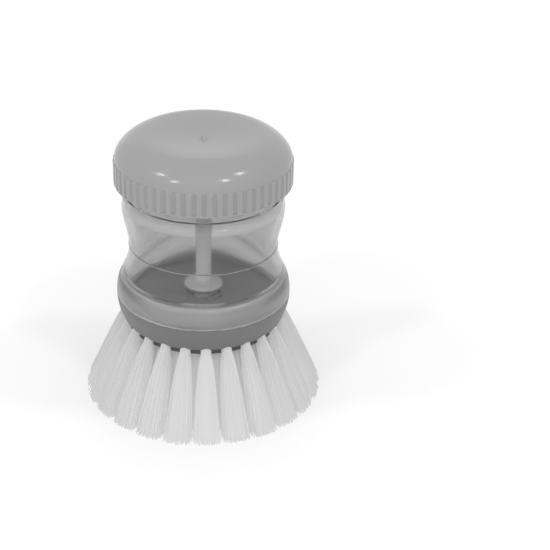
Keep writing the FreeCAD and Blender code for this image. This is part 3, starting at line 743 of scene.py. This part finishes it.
def makeStrandTone():
    # rises from a darker root, painted shade, to Tip Tone along a filament, times a share from Least Share
    # to 1 of its own
    group, given, result = newGroup("strandTone", ("Root Tone", "Tip Tone", "Least Share"), ("Colour",))
    link = group.links.new
    along = addNode(group, "ShaderNodeAttribute", attribute_name="along")
    strand = addNode(group, "ShaderNodeAttribute", attribute_name="strand")
    ramp = addNode(group, "ShaderNodeMapRange")
    vary = addNode(group, "ShaderNodeMapRange")
    tone = addNode(group, "ShaderNodeMath", operation="MULTIPLY")
    link(along.outputs["Fac"], ramp.inputs["Value"])
    link(strand.outputs["Fac"], vary.inputs["Value"])
    link(given.outputs["Root Tone"], ramp.inputs["To Min"])
    link(given.outputs["Tip Tone"], ramp.inputs["To Max"])
    link(given.outputs["Least Share"], vary.inputs["To Min"])
    link(ramp.outputs[0], tone.inputs[0])
    link(vary.outputs[0], tone.inputs[1])
    link(greyFrom(group, tone.outputs[0]), result.inputs["Colour"])
    return group


def makeBristleFinish(name, look, shadedRootTone):
    # thin nylon that lets some light through; greyer at the root, most on the inner rows: painted shade
    # between the tufts
    material, tree, shader = newFinish("bristleNylon_" + name)
    tone = addNode(tree, "ShaderNodeGroup", node_tree=strandTone)
    setInputs(tone, Root_Tone=shadedRootTone, Tip_Tone=look["tipTone"], Least_Share=1 - look["vary"])
    tree.links.new(tone.outputs["Colour"], shader.inputs["Base Color"])
    setInputs(shader, Roughness=look["roughness"], IOR=look["ior"])
    passShadows(tree, shader, look["shadowTone"])
    return material


def bundlePoint(t, discX, discY, row, look, mouth):
    # point of the unit disc carried down a tuft, in (radial, ring, up): the middle runs straight from the
    # mouth, t = 0, to the tip, t = 1; depth and width grow as s^spreadPower, the disc turns level and its
    # circle squares up to |x|^m + |y|^m = 1, with tiny terms that keep the disc's middle finite
    tilt = math.atan2(row["tip"] - row["root"], mouth)
    share = np.clip((t - look["straight"]) / (1 - look["straight"]), 0, 1)
    spread = share ** look["spreadPower"]
    depth = look["rootRadius"] + (look["tipHalfDepth"] - look["rootRadius"]) * spread
    width = look["rootRadius"] + (row["tipHalfWidth"] - look["rootRadius"]) * spread
    lean = tilt * (1 - share)
    power = 2 + (look["tipSquare"] - 2) * share
    reach = np.hypot(discX, discY) + 1e-9
    square = reach / (np.abs(discX) ** power + np.abs(discY) ** power + 1e-30) ** (1 / power)
    discX, discY = discX * square, discY * square
    radial = row["root"] + (row["tip"] - row["root"]) * t + depth * discX * np.cos(lean)
    up = mouth * (1 - t) + depth * discX * np.sin(lean)
    return np.stack(np.broadcast_arrays(radial, width * discY, up), -1)


def tubeFaces(points):
    # quads and end faces of closed tubes whose points come as (..., stations, sides, 3)
    stations, sides = points.shape[-3:-1]
    start = np.arange(0, points.size // 3, stations * sides)[:, None, None]
    quads = (start + gridQuads(stations, sides, False)[None]).reshape(-1, 4)
    rootEnd = start[:, 0] + np.arange(sides)[None, ::-1]
    tipEnd = start[:, 0] + (stations - 1) * sides + np.arange(sides)[None, :]
    return [quads, rootEnd, tipEnd]


def makeStrands(row, look, mouth):
    # filament f keeps its place on a crowded sunflower disc, at the radius ((f + 1/2) / n)^crowding and f
    # times the golden angle round, with a little bow and jitter; gives the tubes and two tone attributes
    draw = np.random.default_rng(row["seed"])
    tufts, filaments, sides = row["count"], look["filaments"], look["sides"]
    shape = (tufts, filaments, 1)
    index = np.arange(filaments)[None, :, None]
    goldenAngle = math.pi * (3 - math.sqrt(5))
    reach = ((index + 0.5) / filaments) ** look["crowding"]
    turn = index * goldenAngle + draw.uniform(0, 2 * np.pi, (tufts, 1, 1))
    short = look["uneven"] * draw.uniform(0, 1, (tufts, 1, 1))
    short = short + look["ragged"] * np.abs(draw.standard_normal(shape))
    t = np.array(look["stations"]) * (1 - short / mouth)
    free = np.clip(t, 0, 1)
    jitter = look["tipJitter"] * draw.standard_normal((2,) + shape) * free ** 2
    discX, discY = reach * np.cos(turn) + jitter[0], reach * np.sin(turn) + jitter[1]
    path = bundlePoint(t, discX, discY, row, look, mouth)
    sway = look["bow"] * draw.standard_normal((tufts, filaments, 1, 2))
    path[..., :2] += sway * np.sin(np.pi * free)[..., None]
    around = fullTurn(sides) + math.pi / sides
    thick = np.full(len(look["stations"]), look["filamentRadius"])
    thick[-1] *= look["tipTaper"]
    ring = np.stack([np.cos(around), np.sin(around), 0 * around], -1)
    tubes = path[..., None, :] + thick[:, None, None] * ring
    along = np.repeat(np.broadcast_to(t, path.shape[:-1]).ravel(), sides)
    strand = np.repeat(draw.uniform(0, 1, tufts * filaments), len(look["stations"]) * sides)
    return tubes, along, strand


def makeCores(row, look, mouth):
    # the same bundle's outline, drawn in by coreSizes
    tufts, sides = row["count"], look["coreSides"]
    rim = fullTurn(sides)
    size = np.array(look["coreSizes"])[:, None]
    t = np.array(look["coreStations"])[:, None]
    core = bundlePoint(t, -size * np.cos(rim), size * np.sin(rim), row, look, mouth)
    along = np.tile(np.repeat(t[:, 0], sides), tufts)
    return np.repeat(core[None], tufts, 0), along, np.full(len(along), look["coreShare"])


def makeTuftRow(name, row, look, finish):
    # each tuft's (radial, ring, up) points turned to its place round the axis
    tufts = row["count"]
    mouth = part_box("brush_block")[0].z
    place = look["firstAngle"] + (np.arange(tufts) + row["step"]) * 2 * np.pi / tufts
    cosine, sine = np.cos(place)[:, None], np.sin(place)[:, None]
    pieces = []
    for title, makeTubes in (("bristles_", makeStrands), ("bristleCores_", makeCores)):
        tubes, along, strand = makeTubes(row, look, mouth)
        radial, ring, up = np.moveaxis(tubes.reshape(tufts, -1, 3), -1, 0)
        points = np.stack([radial * cosine - ring * sine, radial * sine + ring * cosine,
                           np.maximum(up, look["floorGap"])], -1).reshape(-1, 3)
        piece = putMesh(title + name, points, tubeFaces(tubes), look["sharpAngle"])
        for attribute, value in (("along", along), ("strand", strand)):
            layer = piece.data.attributes.new(attribute, "FLOAT", "POINT")
            layer.data.foreach_set("value", value.astype(np.float32))
        wear(piece, finish)
        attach(piece, "base")
        pieces.append(piece)
    pieces[0].visible_shadow = False        # thin clear nylon: only the bundle's core shades its neighbours
    for piece in pieces:
        piece.visible_diffuse = False
    single = ["tuft_%s_%02d" % (name, k + 1) for k in range(tufts)]
    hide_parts(*(node for node in single + ["tufts_" + name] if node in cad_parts))


strandTone = makeStrandTone()
for rowName, rowLook in tuftRows.items():
    bristleFinish = makeBristleFinish(rowName, bristleNylon, rowLook["shadedRootTone"])
    makeTuftRow(rowName, rowLook, tuftLook, bristleFinish)
print("tufts done")


# floor, light and camera

stageLook = {"floorHalf": 4.0, "floorTone": 0.92, "floorRoughness": 0.9, "nearLift": 0.13, "farLift": 0.36,
             "nearRadius": 0.1, "farRadius": 1.7, "worldStrength": 0.70}
smallLamp = {"distance": 0.9, "size": 0.11, "power": 0.75, "mirrored": True}
broadLamp = {"distance": 1.2, "size": 1.0, "mirrored": False}
lampLook = {      # turn from the camera's side to the right, height above the table, both in degrees
    "leftBack": dict(smallLamp, turn=-75, rise=49),
    "leftFront": dict(smallLamp, turn=-43, rise=42.5),
    "rightFront": dict(smallLamp, turn=36, rise=52),
    "rightBack": dict(smallLamp, turn=76, rise=58),
    "frontFill": dict(broadLamp, turn=0, rise=12, power=2.0),
    "backFill": dict(broadLamp, turn=180, rise=12, power=1.6)}
lampAim = (0, 0, 0.085)
cameraLook = {"place": (0.0, -0.4214, 0.2724), "aim": (0.0, 0.0, 0.048), "aimPixel": (203.6, 255.4),
              "framePixels": 550, "focalPixels": 1461.3, "sensor": 36, "near": 0.01, "far": 50,
              "settleSteps": 12}


def seenDirectly(tree):
    # 1 for what the camera sees, straight, mirrored or through the clear plastic
    path = addNode(tree, "ShaderNodeLightPath")
    plain = addNode(tree, "ShaderNodeMath", operation="MAXIMUM")
    seen = addNode(tree, "ShaderNodeMath", operation="MAXIMUM")
    tree.links.new(path.outputs["Is Camera Ray"], plain.inputs[0])
    tree.links.new(path.outputs["Is Glossy Ray"], plain.inputs[1])
    tree.links.new(plain.outputs[0], seen.inputs[0])
    tree.links.new(path.outputs["Is Transmission Ray"], seen.inputs[1])
    return seen.outputs[0]


def makeFloor(look):
    # pale floor, lifted to white far out and less near the object, where it keeps the shadow
    half = look["floorHalf"]
    corners = np.array([[-half, -half, 0], [half, -half, 0], [half, half, 0], [-half, half, 0]])
    floor = putMesh("floor", corners, [np.array([[0, 1, 2, 3]])])
    material, tree, shader = newFinish("floorPaint")
    setInputs(shader, Base_Color=(look["floorTone"],) * 3 + (1,), Roughness=look["floorRoughness"])
    place = addNode(tree, "ShaderNodeTexCoord")
    radius = addNode(tree, "ShaderNodeVectorMath", operation="LENGTH")
    lift = addNode(tree, "ShaderNodeMapRange")
    setInputs(lift, From_Min=look["nearRadius"], From_Max=look["farRadius"],
              To_Min=look["nearLift"], To_Max=look["farLift"])
    glow = setInputs(addNode(tree, "ShaderNodeEmission"), Color=(1, 1, 1, 1))
    lifted = addNode(tree, "ShaderNodeAddShader")
    plain = addNode(tree, "ShaderNodeMixShader")
    tree.links.new(place.outputs["Object"], radius.inputs[0])
    tree.links.new(radius.outputs["Value"], lift.inputs["Value"])
    tree.links.new(lift.outputs[0], glow.inputs["Strength"])
    tree.links.new(shader.outputs[0], lifted.inputs[0])
    tree.links.new(glow.outputs[0], lifted.inputs[1])
    tree.links.new(seenDirectly(tree), plain.inputs[0])
    tree.links.new(shader.outputs[0], plain.inputs[1])
    tree.links.new(lifted.outputs[0], plain.inputs[2])
    tree.links.new(plain.outputs[0], tree.nodes["Material Output"].inputs["Surface"])
    wear(floor, material)


def makeWorld(strength):
    # soft light all round, and plain white where it is seen
    world = bpy.data.worlds.new("studio")
    bpy.context.scene.world = world
    world.use_nodes = True
    tree = world.node_tree
    air = setInputs(tree.nodes["Background"], Color=(1, 1, 1, 1), Strength=strength)
    white = setInputs(addNode(tree, "ShaderNodeBackground"), Color=(1, 1, 1, 1), Strength=1.0)
    mix = addNode(tree, "ShaderNodeMixShader")
    tree.links.new(seenDirectly(tree), mix.inputs[0])
    tree.links.new(air.outputs[0], mix.inputs[1])
    tree.links.new(white.outputs[0], mix.inputs[2])
    tree.links.new(mix.outputs[0], tree.nodes["World Output"].inputs["Surface"])


def makeLamps(lamps):
    # discs that face the aim; the broad ones are left out of reflections
    for name, look in lamps.items():
        light = bpy.data.lights.new(name, "AREA")
        light.shape = "DISK"
        light.size = look["size"]
        light.energy = look["power"]
        turn, rise = math.radians(look["turn"]), math.radians(look["rise"])
        side = Vector((math.sin(turn) * math.cos(rise), -math.cos(turn) * math.cos(rise), math.sin(rise)))
        lamp = bpy.data.objects.new(name, light)
        lamp.location = Vector(lampAim) + side * look["distance"]
        lamp.rotation_euler = side.to_track_quat("Z", "Y").to_euler()
        lamp.visible_camera = False
        lamp.visible_glossy = look["mirrored"]
        bpy.context.scene.collection.objects.link(lamp)


def makeCamera(look):
    # turned so that the aim point lands on its pixel while the object's axis stays upright there
    place, aim = Vector(look["place"]), Vector(look["aim"])
    middle = look["framePixels"] / 2
    left = (look["aimPixel"][0] - middle) / look["focalPixels"]
    above = (middle - look["aimPixel"][1]) / look["focalPixels"]
    sight = (aim - place).normalized()
    right, upward = Vector((1, 0, 0)), Vector((0, 0, 1))
    for _ in range(look["settleSteps"]):
        forward = sight * math.sqrt(1 + left ** 2 + above ** 2) - right * left - upward * above
        forward.normalize()
        plumb = Vector((0, 0, 1)) * forward.dot(sight) - sight * forward.z
        right = forward.cross(plumb).normalized()
        upward = right.cross(forward)
    data = bpy.data.cameras.new("photoCamera")
    data.sensor_width = look["sensor"]
    data.lens = look["focalPixels"] / look["framePixels"] * look["sensor"]
    data.clip_start, data.clip_end = look["near"], look["far"]
    camera = bpy.data.objects.new("photoCamera", data)
    camera.matrix_world = Matrix((right, upward, -forward)).transposed().to_4x4()
    camera.location = place
    bpy.context.scene.collection.objects.link(camera)
    bpy.context.scene.camera = camera


makeFloor(stageLook)
makeWorld(stageLook["worldStrength"])
makeLamps(lampLook)
makeCamera(cameraLook)
bpy.context.scene.view_settings.view_transform = "Standard"
print("stage done")
